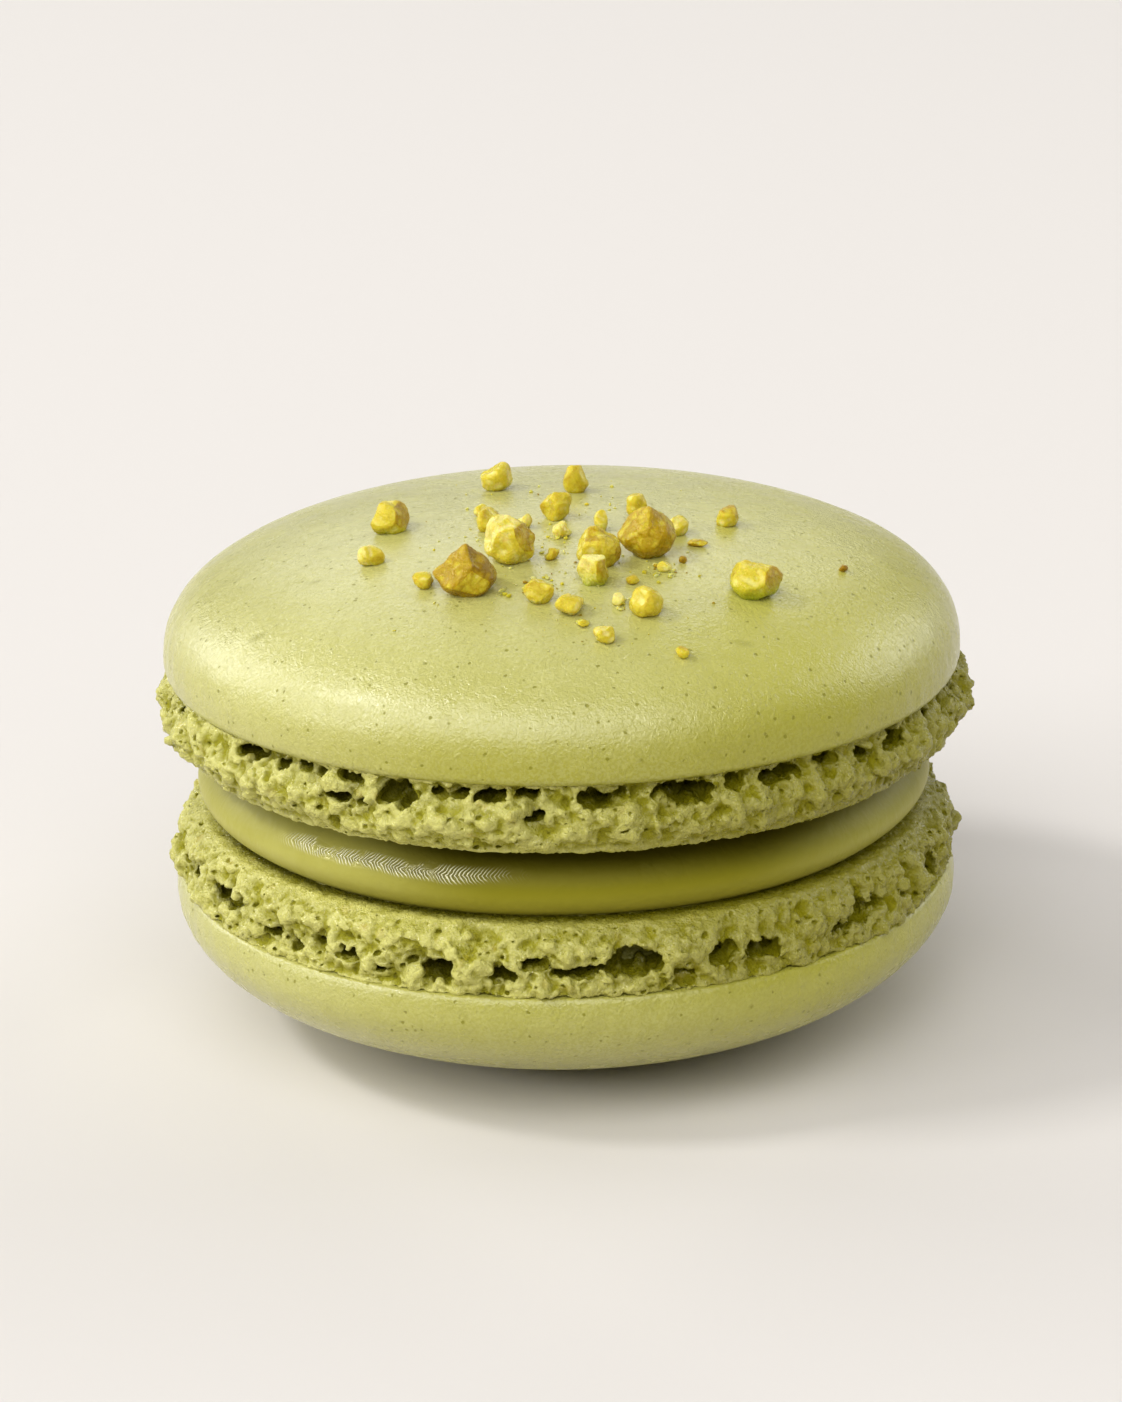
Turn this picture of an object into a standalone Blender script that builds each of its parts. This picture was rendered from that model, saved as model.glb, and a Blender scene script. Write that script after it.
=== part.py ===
# A french macaron: two almond shells, each a smooth cap over a rough, cave-riddled
# foot, with a soft filling between them and chopped nut nibs baked onto the top.
# It stands on a small flat spot, with the origin at the middle of that spot.

import math
import random

import bmesh
import bpy
from mathutils import Vector, noise

MM = 0.001

# Driving dimensions, in millimetres. Heights are above the table.
TOP_CAP = {"radius": 22.0, "widest_at": 20.65, "rise": 7.45, "roundness": 2.35, "crown": 2.46}
BOTTOM_CAP = {"radius": 21.9, "widest_at": 7.35, "rise": -7.54, "roundness": 2.16, "crown": 1.92}

# A foot runs from the crease under its cap to the rim that meets the filling.
TOP_FOOT = {"crease_radius": 21.6, "crease_at": 20.15, "rim_radius": 21.05, "rim_at": 16.3,
            "bulge": 1.1}
BOTTOM_FOOT = {"crease_radius": 21.5, "crease_at": 8.6, "rim_radius": 20.6, "rim_at": 12.1,
               "bulge": 0.95}
FOOT_SKEW = 0.85

# The filling stops short of both shells by a hair, where the real one sticks to them.
FILLING_RADIUS = 19.85
FILLING_BULGE = 0.6
FILLING_WAVE = 0.12
CONTACT_GAP = 0.3

# Lumps, ruffles and wobble of the foot
LUMP_SIZE = 1.5
LUMP_HEIGHT = 0.42
LUMP_REACH = 0.75
LUMP_SUNK = 0.26
RUFFLE_WIDTH = 1.7
RUFFLE_HEIGHT = 4.0
RUFFLE_DEPTH = 0.3
WOBBLE_SIZE = 13.0
WOBBLE_DEPTH = 0.16
CREASE_CALM = 0.12
RIM_CALM = 0.16
RIM_NOTCH_SIZE = 0.9
RIM_NOTCH_DEPTH = 0.12
RIM_LEDGE = 0.6
SAME_LEVEL = 0.01

# The open caves that the steam left: turned from the front (degrees, positive to
# the right), height above the table, width and height of the mouth.
TOP_CAVES = [
    (-49, 19.5, 2.4, 0.7), (-42, 19.4, 0.8, 0.5), (-38, 19.7, 0.9, 0.5), (-35, 19.6, 0.7, 0.5),
    (-30, 19.6, 1.4, 0.5), (-32, 18.6, 1.3, 0.6), (-28, 18.6, 0.7, 0.5), (-23, 19.3, 1.8, 1.1),
    (-17, 19.5, 0.7, 0.5), (-14, 19.5, 0.9, 0.6), (-10, 19.5, 1.7, 0.7), (-5, 19.6, 1.2, 0.6),
    (-4, 18.5, 1.2, 0.5), (4, 19.3, 1.7, 0.9), (7, 19.5, 0.7, 0.6), (13, 19.6, 1.3, 0.5),
    (17, 19.2, 2.3, 1.2), (23, 19.5, 0.9, 0.7), (30, 19.4, 2.4, 0.9), (38, 19.5, 1.4, 0.8),
    (45, 19.3, 1.5, 0.7), (52, 19.4, 2.0, 1.0), (62, 19.4, 1.6, 0.8),
]
BOTTOM_CAVES = [
    (-59, 10.2, 2.6, 0.9), (-46, 9.8, 1.1, 0.6), (-41, 9.6, 1.1, 0.7), (-37, 10.1, 0.8, 0.5),
    (-32, 9.9, 1.3, 0.8), (-27, 9.4, 0.8, 0.4), (-22, 10.1, 0.7, 0.5), (-18, 9.8, 1.8, 1.1),
    (-13, 11.4, 0.8, 0.6), (-9, 9.7, 1.5, 0.7), (-5, 10.4, 1.5, 0.5), (1, 9.9, 2.4, 0.6),
    (9, 10.2, 3.3, 1.3), (16, 9.4, 1.3, 0.5), (22, 10.2, 1.6, 1.2), (28, 10.0, 2.2, 1.0),
    (42, 9.8, 1.3, 0.8), (46, 10.1, 1.8, 0.9), (50, 10.2, 1.2, 0.7), (57, 10.1, 1.4, 0.7),
]
FRONT_REACH = 68.0
CAVE_SPACING = (1.4, 3.6)
CAVE_WIDTH = (0.6, 2.6)
CAVE_FLATNESS = (0.35, 0.6)
CAVE_DEPTH = (0.55, 0.45)
CAVE_SCATTER = 0.25
CAVE_WALL = 0.45
CAVE_RAGGEDNESS = 0.35
CAVE_NARROWING = (0.6, 1.0)

# Nut nibs that show from a step away: right, towards the back, width and height.
NIBS = [
    (-4.9, -11.7, 3.2, 2.5), (4.6, -7.4, 3.0, 2.5), (-2.6, -8.1, 2.6, 2.3), (2.0, -8.9, 2.2, 1.9),
    (10.1, -11.3, 2.7, 1.7), (-9.2, -1.9, 2.0, 1.6), (-3.5, 5.3, 1.7, 1.5), (-0.2, -1.4, 1.7, 1.5),
    (4.3, -14.4, 1.7, 1.4), (1.6, -11.3, 1.6, 1.4), (-1.2, -13.3, 1.5, 1.1), (1.0, 4.2, 1.4, 1.5),
    (0.4, -14.3, 1.4, 0.9), (-10.0, -6.8, 1.4, 1.0), (-3.8, -3.0, 1.3, 1.1), (6.2, -4.0, 1.3, 0.9),
    (4.2, -0.9, 1.1, 1.1), (9.1, -1.8, 1.2, 1.0), (2.1, -16.9, 1.1, 0.8), (-7.2, -10.6, 1.1, 0.8),
    (0.1, -4.6, 1.1, 0.8), (-1.9, -3.1, 0.8, 0.8), (-0.4, -8.0, 0.8, 0.6),
]
LARGE_NIB = 1.6
NIB_SUNK = 0.25
NIB_ROUGHNESS = 0.45
NIB_GRAIN = 3.0
NIB_DEPTH = (0.8, 1.05)

# Mesh sizes and shading
SMOOTH_ANGLE = 50.0
TURN_STEPS = 420
TURN_MERGE = 0.00001
CUT_MERGE = 0.0000001
CAP_ROWS = 30
FOOT_ROWS = 26
FILLING_STEPS = 96
FILLING_ROWS = 8
SHELL_TRIANGLES = 5000
SEED = 7


# Shapes shared by both shells

def smooth(value):
    held = min(max(value, 0.0), 1.0)
    return held * held * (3.0 - 2.0 * held)


def cap_points(cap):
    # A superellipse from the pole out to the widest place of the cap
    points = []
    for row in range(CAP_ROWS + 1):
        turn = math.radians(90.0) * row / CAP_ROWS
        out = cap["radius"] * math.sin(turn) ** (2.0 / cap["roundness"])
        up = cap["rise"] * math.cos(turn) ** (2.0 / cap["crown"])
        points.append((out, cap["widest_at"] + up))
    return points


def foot_points(foot):
    points = []
    for row in range(FOOT_ROWS + 1):
        share = row / FOOT_ROWS
        straight = foot["crease_radius"] + (foot["rim_radius"] - foot["crease_radius"]) * share
        swell = foot["bulge"] * math.sin(math.pi * share ** FOOT_SKEW)
        level = foot["crease_at"] + (foot["rim_at"] - foot["crease_at"]) * share
        points.append((straight + swell, level))
    return points


def turned_mesh(name, points, steps):
    # The profile runs down the outer side at +X, from the axis and back to it
    flat = bmesh.new()
    corners = [flat.verts.new((out * MM, 0.0, up * MM)) for out, up in points]
    for start, end in zip(corners, corners[1:]):
        flat.edges.new((start, end))
    outline = bpy.data.meshes.new(name + "_outline")
    flat.to_mesh(outline)
    flat.free()
    turned = bpy.data.objects.new(name + "_outline", outline)
    bpy.context.scene.collection.objects.link(turned)
    screw = turned.modifiers.new("turn", "SCREW")
    screw.steps = steps
    screw.render_steps = steps
    screw.use_merge_vertices = True
    screw.merge_threshold = TURN_MERGE
    graph = bpy.context.evaluated_depsgraph_get()
    mesh = bpy.data.meshes.new_from_object(turned.evaluated_get(graph))
    mesh.name = name
    bpy.data.objects.remove(turned)
    bpy.data.meshes.remove(outline)
    return mesh


def link_object(name, mesh, collection, material):
    mesh.materials.clear()
    mesh.materials.append(material)
    piece = bpy.data.objects.new(name, mesh)
    collection.objects.link(piece)
    return piece


def applied_mesh(piece):
    graph = bpy.context.evaluated_depsgraph_get()
    return bpy.data.meshes.new_from_object(piece.evaluated_get(graph))


# The foot's relief

def cave_ring(front, draw):
    # The caves seen from the front, then a seeded row of the same kind round the back
    caves = list(front)
    level = sum(cave[1] for cave in front) / len(front)
    around = TOP_CAP["radius"] * math.radians(1.0)
    angle = FRONT_REACH
    while angle < 360.0 - FRONT_REACH:
        width = draw.uniform(*CAVE_WIDTH) * draw.uniform(*CAVE_NARROWING)
        height = width * draw.uniform(*CAVE_FLATNESS)
        caves.append((angle, level + draw.uniform(-CAVE_SCATTER, CAVE_SCATTER), width, height))
        angle += (draw.uniform(*CAVE_SPACING) + 0.5 * width) / around
    return caves


def cave_depth(angle, level, radius, caves):
    # How far the caves hollow the foot at this place
    deepest = 0.0
    for centre, height, width, mouth in caves:
        turned = (angle - centre + 180.0) % 360.0 - 180.0
        along = radius * math.radians(turned)
        if abs(along) > width:
            continue
        ragged = 1.0 + CAVE_RAGGEDNESS * noise.noise(Vector((centre, 2.0 * along, 2.0 * level)))
        span = (2.0 * along / width) ** 2 + (2.0 * (level - height) / mouth) ** 2
        inside = 1.0 - span * ragged
        if inside > 0.0:
            base, slope = CAVE_DEPTH
            deepest = max(deepest, (base + slope * width) * min(1.0, inside / CAVE_WALL))
    return deepest


def foot_swell(place, angle, share):
    # Rounded lumps with creases between them, over upright ruffles
    nearest = noise.voronoi(place / LUMP_SIZE)[0][0]
    lump = LUMP_HEIGHT * (1.0 - (nearest / LUMP_REACH) ** 2)
    along = TOP_CAP["radius"] * math.radians(angle)
    upright = Vector((along / RUFFLE_WIDTH, place.z / RUFFLE_HEIGHT, 0.0))
    ruffle = RUFFLE_DEPTH * noise.noise(upright)
    hold = smooth(share / CREASE_CALM) * smooth((1.0 - share) / RIM_CALM)
    return (lump + ruffle - LUMP_SUNK) * hold


def roughen_foot(mesh, foot, caves):
    low, high = foot["rim_at"], foot["crease_at"]
    inner = foot["rim_radius"] - RIM_LEDGE
    for vertex in mesh.vertices:
        place = vertex.co / MM
        radius = math.hypot(place.x, place.y)
        if radius < inner:
            continue
        angle = math.degrees(math.atan2(place.x, -place.y))
        wobble = WOBBLE_DEPTH * noise.noise(place / WOBBLE_SIZE)
        share = (high - place.z) / (high - low)
        offset = wobble
        if 0.0 < share < 1.0:
            offset += foot_swell(place, angle, share)
            offset -= cave_depth(angle, place.z, radius, caves)
        if abs(share - 1.0) < SAME_LEVEL:
            offset += RIM_NOTCH_DEPTH * noise.noise(place / RIM_NOTCH_SIZE)
        grown = (radius + offset) / radius
        vertex.co.x *= grown
        vertex.co.y *= grown


def thinned(mesh, material, collection, triangles):
    # The same form with fewer faces: the flat places lose theirs first
    work = bmesh.new()
    work.from_mesh(mesh)
    bmesh.ops.remove_doubles(work, verts=work.verts, dist=CUT_MERGE)
    bmesh.ops.triangulate(work, faces=work.faces)
    work.to_mesh(mesh)
    work.free()
    piece = link_object("thinning", mesh, collection, material)
    fewer = piece.modifiers.new("fewer", "DECIMATE")
    fewer.ratio = triangles / len(mesh.polygons)
    fewer.use_collapse_triangulate = True
    result = applied_mesh(piece)
    bpy.data.objects.remove(piece)
    return result


def cut_level(mesh, level):
    # A flat spot: what hangs below the level goes, and the opening is closed
    work = bmesh.new()
    work.from_mesh(mesh)
    everything = work.verts[:] + work.edges[:] + work.faces[:]
    cut = bmesh.ops.bisect_plane(work, geom=everything, dist=CUT_MERGE,
                                 plane_co=(0.0, 0.0, level), plane_no=(0.0, 0.0, -1.0),
                                 clear_outer=True)
    rim = [item for item in cut["geom_cut"] if isinstance(item, bmesh.types.BMEdge)]
    bmesh.ops.edgeloop_fill(work, edges=rim)
    bmesh.ops.recalc_face_normals(work, faces=work.faces)
    bmesh.ops.triangulate(work, faces=work.faces)
    work.to_mesh(mesh)
    work.free()


# Sub-parts

def build_top_shell(collection, bench, material, draw):
    points = cap_points(TOP_CAP) + foot_points(TOP_FOOT) + [(0.0, TOP_FOOT["rim_at"])]
    mesh = turned_mesh("top_shell_turned", points, TURN_STEPS)
    roughen_foot(mesh, TOP_FOOT, cave_ring(TOP_CAVES, draw))
    shell = link_object("top_shell", thinned(mesh, material, bench, SHELL_TRIANGLES),
                        collection, material)
    add_nibs(shell, draw)
    return shell


def build_bottom_shell(collection, bench, material, draw):
    outside = cap_points(BOTTOM_CAP) + foot_points(BOTTOM_FOOT)
    points = [(0.0, BOTTOM_FOOT["rim_at"])] + outside[::-1]
    mesh = turned_mesh("bottom_shell_turned", points, TURN_STEPS)
    roughen_foot(mesh, BOTTOM_FOOT, cave_ring(BOTTOM_CAVES, draw))
    result = thinned(mesh, material, bench, SHELL_TRIANGLES)
    cut_level(result, 0.0)
    return link_object("bottom_shell", result, collection, material)


def build_filling(collection, material):
    low = BOTTOM_FOOT["rim_at"] + CONTACT_GAP
    high = TOP_FOOT["rim_at"] - CONTACT_GAP
    points = [(0.0, high)]
    for row in range(FILLING_ROWS + 1):
        share = row / FILLING_ROWS
        out = FILLING_RADIUS + FILLING_BULGE * math.sin(math.pi * share)
        points.append((out, high + (low - high) * share))
    points.append((0.0, low))
    mesh = turned_mesh("filling_turned", points, FILLING_STEPS)
    for vertex in mesh.vertices:
        place = vertex.co / MM
        radius = math.hypot(place.x, place.y)
        if radius > 0.0:
            wave = FILLING_WAVE * noise.noise(Vector((place.x, place.y, 0.0)) / WOBBLE_SIZE)
            vertex.co.x *= 1.0 + wave / radius
            vertex.co.y *= 1.0 + wave / radius
    return link_object("filling", mesh, collection, material)


def cap_level(radius):
    # The height of the upper cap's skin this far from the middle
    slope = 1.0 - (radius / TOP_CAP["radius"]) ** TOP_CAP["roundness"]
    return TOP_CAP["widest_at"] + TOP_CAP["rise"] * slope ** (1.0 / TOP_CAP["crown"])


def build_nib(index, nib, collection, material, draw):
    # A chopped crumb: a small ball knocked out of round and sunk into the skin
    right, back, width, height = nib
    full = height / (1.0 - NIB_SUNK)
    level = cap_level(math.hypot(right, back)) + height - full / 2.0
    depth = width * draw.uniform(*NIB_DEPTH)
    twist = draw.uniform(0.0, 2.0 * math.pi)
    shift = Vector((draw.uniform(0.0, 50.0), draw.uniform(0.0, 50.0), 0.0))
    work = bmesh.new()
    sides = 2 if width >= LARGE_NIB else 1
    bmesh.ops.create_icosphere(work, subdivisions=sides, radius=0.5)
    for vertex in work.verts:
        knock = 1.0 + NIB_ROUGHNESS * noise.noise(vertex.co * NIB_GRAIN + shift)
        turned_x = vertex.co.x * math.cos(twist) - vertex.co.y * math.sin(twist)
        turned_y = vertex.co.x * math.sin(twist) + vertex.co.y * math.cos(twist)
        vertex.co.x = (right + turned_x * width * knock) * MM
        vertex.co.y = (back + turned_y * depth * knock) * MM
        vertex.co.z = (level + vertex.co.z * full * knock) * MM
    mesh = bpy.data.meshes.new("nib_%02d" % index)
    work.to_mesh(mesh)
    work.free()
    return link_object("nib_%02d" % index, mesh, collection, material)


def add_nibs(shell, draw):
    nibs = bpy.data.collections.new("nibs")
    bpy.context.scene.collection.children.link(nibs)
    for index, nib in enumerate(NIBS):
        build_nib(index, nib, nibs, shell.data.materials[0], draw)
    join = shell.modifiers.new("nibs", "BOOLEAN")
    join.operation = "UNION"
    join.operand_type = "COLLECTION"
    join.collection = nibs
    joined = applied_mesh(shell)
    shell.modifiers.clear()
    shell.data = joined
    for nib in list(nibs.objects):
        bpy.data.objects.remove(nib)
    bpy.data.collections.remove(nibs)


def make_material(name, colour, roughness):
    material = bpy.data.materials.new(name)
    material.use_nodes = True
    surface = material.node_tree.nodes["Principled BSDF"]
    surface.inputs["Base Color"].default_value = (*colour, 1.0)
    surface.inputs["Roughness"].default_value = roughness
    surface.inputs["Metallic"].default_value = 0.0
    return material


def shade(piece, angle):
    piece.data.shade_smooth()
    piece.data.set_sharp_from_angle(angle=math.radians(angle))


def main():
    for item in list(bpy.data.objects):
        bpy.data.objects.remove(item, do_unlink=True)
    draw = random.Random(SEED)
    macaron = bpy.data.collections.new("macaron")
    bpy.context.scene.collection.children.link(macaron)
    bench = bpy.data.collections.new("bench")
    bpy.context.scene.collection.children.link(bench)
    almond = make_material("shell", (0.58, 0.55, 0.17), 0.55)
    cream = make_material("filling", (0.24, 0.21, 0.03), 0.3)
    build_bottom_shell(macaron, bench, almond, draw)
    build_filling(macaron, cream)
    build_top_shell(macaron, bench, almond, draw)
    bpy.data.collections.remove(bench)
    for piece in macaron.objects:
        shade(piece, SMOOTH_ANGLE)


main()
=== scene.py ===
import math
import random

import bmesh
import bpy
import numpy
from mathutils import Matrix, Vector, noise


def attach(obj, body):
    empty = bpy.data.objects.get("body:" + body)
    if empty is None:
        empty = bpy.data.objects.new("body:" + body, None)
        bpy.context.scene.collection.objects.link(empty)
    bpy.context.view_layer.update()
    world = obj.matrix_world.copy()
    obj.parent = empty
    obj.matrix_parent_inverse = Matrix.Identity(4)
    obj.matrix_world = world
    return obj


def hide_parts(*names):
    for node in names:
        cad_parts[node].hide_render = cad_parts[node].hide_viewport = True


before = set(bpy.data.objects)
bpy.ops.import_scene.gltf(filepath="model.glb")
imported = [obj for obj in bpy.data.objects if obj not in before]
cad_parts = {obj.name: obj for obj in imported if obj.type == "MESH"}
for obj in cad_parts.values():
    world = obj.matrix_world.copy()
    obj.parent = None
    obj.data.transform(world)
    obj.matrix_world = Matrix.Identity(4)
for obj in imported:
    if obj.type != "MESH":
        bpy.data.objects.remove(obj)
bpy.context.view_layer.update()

mm = 0.001              # shapes are worked out in millimetres and scaled as a piece is finished


# Working helpers

def meshOf(bm, name):
    mesh = bpy.data.meshes.new(name)
    bm.to_mesh(mesh)
    bm.free()
    return mesh


def placed(name, data):
    thing = bpy.data.objects.new(name, data)
    bpy.context.scene.collection.objects.link(thing)
    return thing


def modified(mesh, kind, **settings):
    # A spare object carries the modifier, and only the result is kept
    spare = placed("spare", mesh)
    modifier = spare.modifiers.new(kind, kind)
    for key, value in settings.items():
        setattr(modifier, key, value)
    graph = bpy.context.evaluated_depsgraph_get()
    result = bpy.data.meshes.new_from_object(spare.evaluated_get(graph))
    bpy.data.objects.remove(spare)
    return result


def remeshed(mesh, voxel):
    return modified(mesh, "REMESH", mode="VOXEL", voxel_size=voxel)


def cutBy(mesh, cutter):
    knife = placed("knife", cutter)
    result = modified(mesh, "BOOLEAN", operation="DIFFERENCE", solver="MANIFOLD", object=knife)
    bpy.data.objects.remove(knife)
    return result


def thinned(mesh, triangles):
    # Flat and hidden places lose their faces first
    count = sum(len(face.vertices) - 2 for face in mesh.polygons)
    return modified(mesh, "DECIMATE", ratio=min(1.0, triangles / count), use_collapse_triangulate=True)


def turned(points, steps, closed=False):
    bm = bmesh.new()
    corners = [bm.verts.new((out, 0.0, up)) for out, up in points]
    for start, end in zip(corners, corners[1:]):
        bm.edges.new((start, end))
    if closed:
        bm.edges.new((corners[-1], corners[0]))
    bmesh.ops.spin(bm, geom=bm.verts[:] + bm.edges[:], cent=(0, 0, 0), axis=(0, 0, 1), dvec=(0, 0, 0),
                   angle=math.tau, steps=steps, use_merge=True)
    bmesh.ops.remove_doubles(bm, verts=bm.verts, dist=0.0001)
    bmesh.ops.recalc_face_normals(bm, faces=bm.faces)
    return bm


def addBalls(bm, places, detail=2, lumps=0.0):
    # Each place is a matrix for one ball a millimetre in radius; lumps makes it uneven
    balls = []
    for kind in range(4):
        seed = bmesh.new()
        bmesh.ops.create_icosphere(seed, subdivisions=detail, radius=1.0)
        shift = Vector((7.3 * kind, 2.1, 4.7))    # each kind has its own part of the noise
        for vert in seed.verts:
            vert.co *= 1.0 + lumps * noise.noise(vert.co * 1.9 + shift) * 2.0
        balls.append(meshOf(seed, "ball"))
    for index, place in enumerate(places):
        ball = balls[index % len(balls)]
        ball.transform(place)
        bm.from_mesh(ball)
        ball.transform(place.inverted())
    for ball in balls:
        bpy.data.meshes.remove(ball)


def freeTurn(draw):
    # A turn to any side, for things that lie about
    way = Vector((draw.gauss(0, 1), draw.gauss(0, 1), draw.gauss(0, 1)))
    return Matrix.Rotation(draw.uniform(0.0, math.tau), 4, way)


def coordinates(mesh):
    spots = numpy.empty(len(mesh.vertices) * 3)
    mesh.vertices.foreach_get("co", spots)
    return spots.reshape(-1, 3)


def addMeasure(mesh, name, values):
    layer = mesh.attributes.new(name, "FLOAT", "POINT")
    layer.data.foreach_set("value", numpy.asarray(values, dtype=numpy.float32))


def creviceDepth(mesh, rounds):
    # How far each point lies below the average of what surrounds it, in millimetres
    spots = coordinates(mesh)
    pairs = numpy.empty(len(mesh.edges) * 2, dtype=numpy.int32)
    mesh.edges.foreach_get("vertices", pairs)
    first, second = pairs.reshape(-1, 2).T
    count = len(spots)
    links = numpy.bincount(first, minlength=count) + numpy.bincount(second, minlength=count)
    links = numpy.maximum(links, 1)[:, None]
    level = spots.copy()
    for _ in range(rounds):
        total = numpy.empty_like(level)
        for axis in range(3):
            total[:, axis] = (numpy.bincount(first, level[second, axis], count)
                              + numpy.bincount(second, level[first, axis], count))
        level = total / links
    out = numpy.empty(count * 3)
    mesh.vertex_normals.foreach_get("vector", out)
    return ((level - spots) * out.reshape(-1, 3)).sum(axis=1)


def smooth(value):
    held = min(max(value, 0.0), 1.0)
    return held * held * (3.0 - 2.0 * held)


def between(low, high, share):
    return low + (high - low) * share


def around(angle, out, up):
    # Angles are in degrees from the front, growing to the right
    turn = math.radians(angle)
    return Vector((out * math.sin(turn), -out * math.cos(turn), up))


def radiusOf(place):
    return math.hypot(place.x, place.y)


def turnedTo(angle, tilt):
    # Faces outwards at an angle in degrees, and leans aside by a tilt in radians
    return Matrix.Rotation(math.radians(angle), 4, "Z") @ Matrix.Rotation(tilt, 4, "Y")


def angleOf(place):
    return math.degrees(math.atan2(place.x, -place.y))


def pushOut(vert, radius, offset):
    vert.co.x *= 1.0 + offset / radius
    vert.co.y *= 1.0 + offset / radius


def finishPiece(mesh, name, material, node):
    mesh.transform(Matrix.Scale(mm, 4))
    mesh.name = name
    mesh.materials.clear()
    mesh.materials.append(material)
    mesh.shade_smooth()
    piece = placed(name, mesh)
    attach(piece, "root")
    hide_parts(node)
    print(name, len(mesh.polygons), "faces")
    return piece


# Shaders

def feed(tree, node, values):
    # A socket is linked, and anything else is set as the input's own value
    for socket, value in values.items():
        if isinstance(value, bpy.types.NodeSocket):
            tree.links.new(value, node.inputs[socket])
        else:
            node.inputs[socket].default_value = value


def put(tree, kind, values=None, **settings):
    node = tree.nodes.new(kind)
    for key, value in settings.items():
        setattr(node, key, value)
    feed(tree, node, values or {})
    return node


def objectPlace(tree):
    return put(tree, "ShaderNodeTexCoord").outputs["Object"]


def noiseOf(tree, vector, size, detail=2.0, roughness=0.5, distortion=0.0):
    node = put(tree, "ShaderNodeTexNoise", {"Vector": vector, "Scale": 1.0 / size, "Detail": detail,
                                            "Roughness": roughness, "Distortion": distortion})
    return node.outputs[0]


def ranged(tree, value, low, high, start=0.0, end=1.0):
    node = put(tree, "ShaderNodeMapRange", {"Value": value, "From Min": low, "From Max": high,
                                            "To Min": start, "To Max": end},
               interpolation_type="SMOOTHSTEP")
    return node.outputs[0]


def across(tree, value, ends, start=0.0, end=1.0):
    # A smooth step from one end to the other, both in millimetres
    return ranged(tree, value, ends[0] * mm, ends[1] * mm, start, end)


def maths(tree, operation, first, *others):
    total = first
    for other in others:
        total = put(tree, "ShaderNodeMath", {0: total, 1: other}, operation=operation).outputs[0]
    return total


def mixed(tree, factor, first, second):
    values = {0: factor, 6: first, 7: second}
    for index, value in values.items():
        if isinstance(value, tuple):
            values[index] = (*value, 1.0)
    return put(tree, "ShaderNodeMix", values, data_type="RGBA").outputs[2]


def tinted(tree, look, base, *coats):
    # The look's base colour, and over it each named colour by its share
    colour = look[base]
    for name, share in coats:
        colour = mixed(tree, share, colour, look[name])
    return colour


def newGroup(name, inputs, outputs):
    tree = bpy.data.node_groups.new(name, "ShaderNodeTree")
    for socket, start in inputs.items():
        item = tree.interface.new_socket(socket, in_out="INPUT", socket_type="NodeSocketFloat")
        item.default_value = start
    for socket in outputs:
        tree.interface.new_socket(socket, in_out="OUTPUT", socket_type="NodeSocketFloat")
    return tree, put(tree, "NodeGroupInput"), put(tree, "NodeGroupOutput")


# The shared effects. Noise has its size in millimetres, detail, roughness and distortion.
grainLook = {"Swell": (2.6, 2.0, 0.5, 0.0), "Peel": (0.32, 3.0, 0.6, 0.6), "Sand": (0.13, 2.0, 0.6, 0.0)}
mottleLook = {"Broad": (7.0, 2.0, 0.5, 0.0), "Close": (1.3, 3.0, 0.6, 0.0)}
mottleContrast = (0.3, 0.7)
# Specks have the size of their cell, their reach, the share of cells that hold one, and stretch
speckLook = {"Pricks": (0.45, 0.24, 0.55, (1.0, 1.0, 1.0)), "Dots": (1.5, 0.11, 0.5, (1.0, 1.0, 1.0)),
             "Smudges": (2.6, 0.15, 0.5, (0.4, 1.0, 0.8))}
speckEdge = {"turn": (0.4, 0.2, 0.6), "soft": (-0.03, 0.09), "raggedSize": 0.2, "ragged": 0.16}


def layered(tree, given, layers):
    # Noise of several sizes added up, each as strong as the input of its name
    place = objectPlace(tree)
    parts = [maths(tree, "MULTIPLY", noiseOf(tree, place, size * mm, *kind), given.outputs[name])
             for name, (size, *kind) in layers.items()]
    return maths(tree, "ADD", *parts)


def makeGrainGroup():
    # Fine relief of baked almond batter: soft swells, orange peel and a sandy grain
    tree, given, result = newGroup("bakedGrain", {"Swell": 1.0, "Peel": 0.4, "Sand": 0.25}, ["Height"])
    feed(tree, result, {"Height": layered(tree, given, grainLook)})
    return tree


def makeMottleGroup():
    # Slow drifts of tone, as baking leaves them
    tree, given, result = newGroup("bakedMottle", {"Broad": 0.6, "Close": 0.4}, ["Tone"])
    feed(tree, result, {"Tone": ranged(tree, layered(tree, given, mottleLook), *mottleContrast)})
    return tree


def spotsOf(tree, place, cell, reach, share, stretch):
    # Spots of uneven size, one to a cell at most, in a share of the cells
    turn = put(tree, "ShaderNodeMapping", {"Vector": place, "Rotation": speckEdge["turn"],
                                           "Scale": stretch})
    cells = put(tree, "ShaderNodeTexVoronoi", {"Vector": turn.outputs[0], "Scale": 1.0 / (cell * mm)})
    chosen = put(tree, "ShaderNodeSeparateColor", {0: cells.outputs["Color"]})
    size = ranged(tree, chosen.outputs[0], 1.0 - share, 1.0, 0.0, reach)
    inside = maths(tree, "SUBTRACT", size, cells.outputs["Distance"])
    return ranged(tree, inside, *speckEdge["soft"])


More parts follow.
